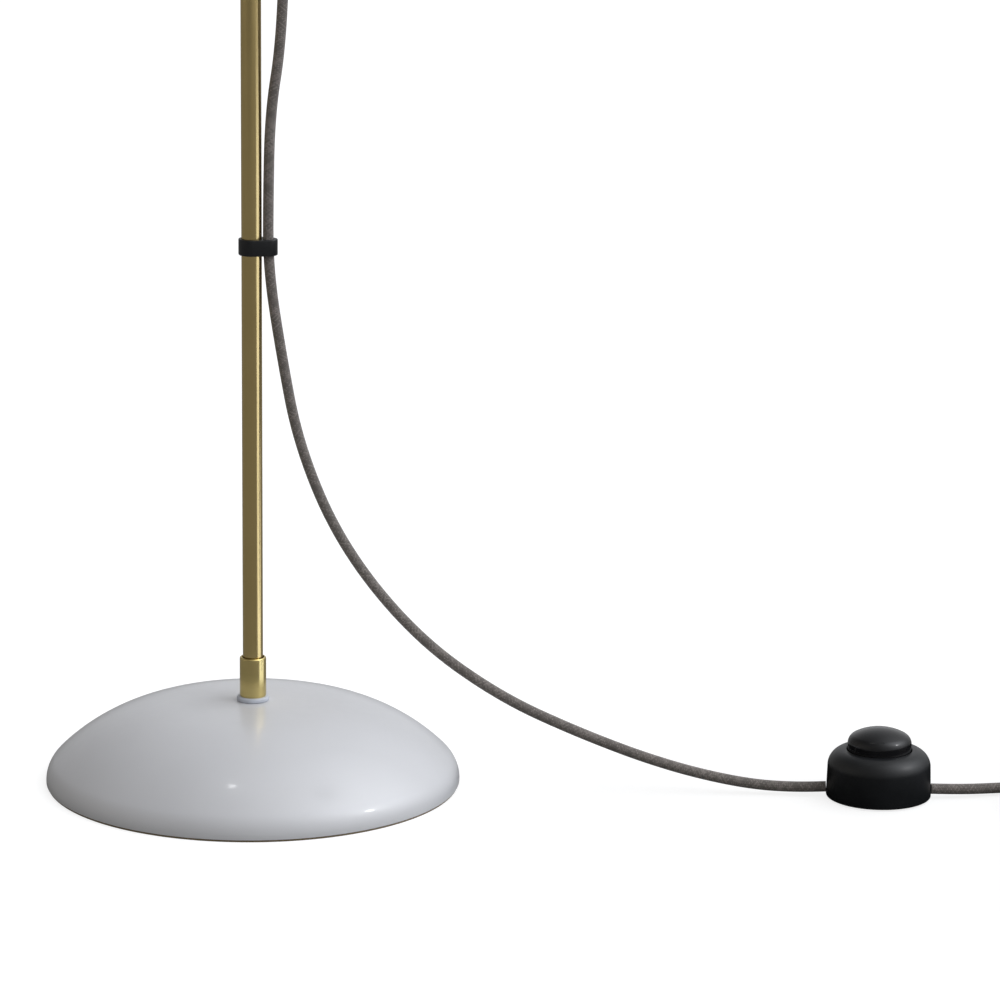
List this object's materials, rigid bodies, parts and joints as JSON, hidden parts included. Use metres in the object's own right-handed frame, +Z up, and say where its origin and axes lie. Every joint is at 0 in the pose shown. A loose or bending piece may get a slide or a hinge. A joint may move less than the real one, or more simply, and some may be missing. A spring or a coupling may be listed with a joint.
{
  "type": "arc floor lamp",
  "caption": "Floor lamp with a weighted dome base, a straight brass pole, a swivelling arc arm, a tilting dome shade, and a fabric cord with a foot switch.",
  "frame": {"origin": "middle of the base's underside, on the floor", "axes": "+Z up along the pole, +X towards the arc arm, the shade and the foot switch, +Y to the back"},
  "size_m": [0.7821, 0.2566, 1.4952],
  "materials": {
    "enamel": "glossy pale grey-white enamel",
    "satin_brass": "satin brushed, slightly olive",
    "collar_grey": "satin pale grey moulding",
    "iron": "as cast, black primer",
    "zinc_steel": "zinc plated",
    "dark_screw": "turned brass",
    "felt": "pressed wool felt, olive brown",
    "black_satin": "satin moulded black",
    "black_gloss": "polished black",
    "nylon": "natural nylon",
    "rubber_foot": "soft black",
    "cord_braid": "woven taupe-grey braid",
    "inner_flex": "smooth sheath",
    "opal_glass": "opal white",
    "plated_cap": "nickel plated",
    "contact_brass": "bare stamped brass",
    "porcelain": "glazed white ceramic",
    "tie_strap": "woven hook-and-loop tape"
  },
  "bodies": {
    "stand": {"base_shell": "enamel", "pole_ferrule": "satin_brass", "lower_pole": "satin_brass", "upper_pole": "satin_brass", "pole_joiner": "satin_brass", "junction_block": "satin_brass", "junction_lid": "satin_brass", "pole_collar": "collar_grey", "base_weight": "iron", "base_stud": "zinc_steel", "base_washer": "zinc_steel", "base_nut": "zinc_steel", "block_grub_screw": "zinc_steel", "stop_pin": "zinc_steel", "plate_screws": "zinc_steel", "clamp_screws": "zinc_steel", "button_spring": "zinc_steel", "cord_clamps": "zinc_steel", "lid_screws": "dark_screw", "base_pad": "felt", "lower_cord_clip": "black_satin", "upper_cord_clip": "black_satin", "cord_gland": "black_satin", "gland_nut": "black_satin", "switch_housing": "black_satin", "switch_plate": "black_satin", "switch_module": "black_satin", "plug_body": "black_satin", "plug_relief": "black_satin", "pivot_bush": "nylon", "switch_feet": "rubber_foot", "lamp_cord": "cord_braid", "mains_cord": "cord_braid", "plug_tail": "cord_braid", "cord_coil": "cord_braid", "block_flex": "inner_flex", "plug_pins": "plated_cap", "switch_terminals": "contact_brass", "coil_tie": "tie_strap"},
    "arm": {"arm_socket": "satin_brass", "swivel_washer": "zinc_steel", "swivel_nut": "zinc_steel", "arc_tube": "satin_brass", "arm_flex": "inner_flex", "arm_fork": "satin_brass", "pivot_screw": "dark_screw", "pivot_nut": "dark_screw", "friction_washers": "nylon"},
    "head": {"shade_tongue": "satin_brass", "shade_cap": "satin_brass", "shade": "enamel", "shade_nut": "zinc_steel", "head_flex": "inner_flex", "holder_cap": "black_gloss", "holder_shell": "black_gloss", "holder_insulator": "porcelain", "holder_contact": "contact_brass", "bulb_cap": "plated_cap", "bulb_glass": "opal_glass"},
    "button": {"switch_button": "black_gloss"}
  },
  "joints": [
    {"name": "arm_swivel", "type": "hinge", "parent": "stand", "child": "arm", "pos_m": [0, 0, 1.15], "axis": [0, 0, 1], "range_deg": [-170, 170]},
    {"name": "shade_tilt", "type": "hinge", "parent": "arm", "child": "head", "pos_m": [0.53882, 0, 1.33438], "axis": [0, 1, 0], "range_deg": [-60, 60]},
    {"name": "switch_press", "type": "slide", "parent": "stand", "child": "button", "axis": [0, 0, -1], "range_m": [0, 0.0035], "stiffness_N_per_m": 3000, "springref_m": -0.003, "deforming": ["button_spring"]}
  ]
}
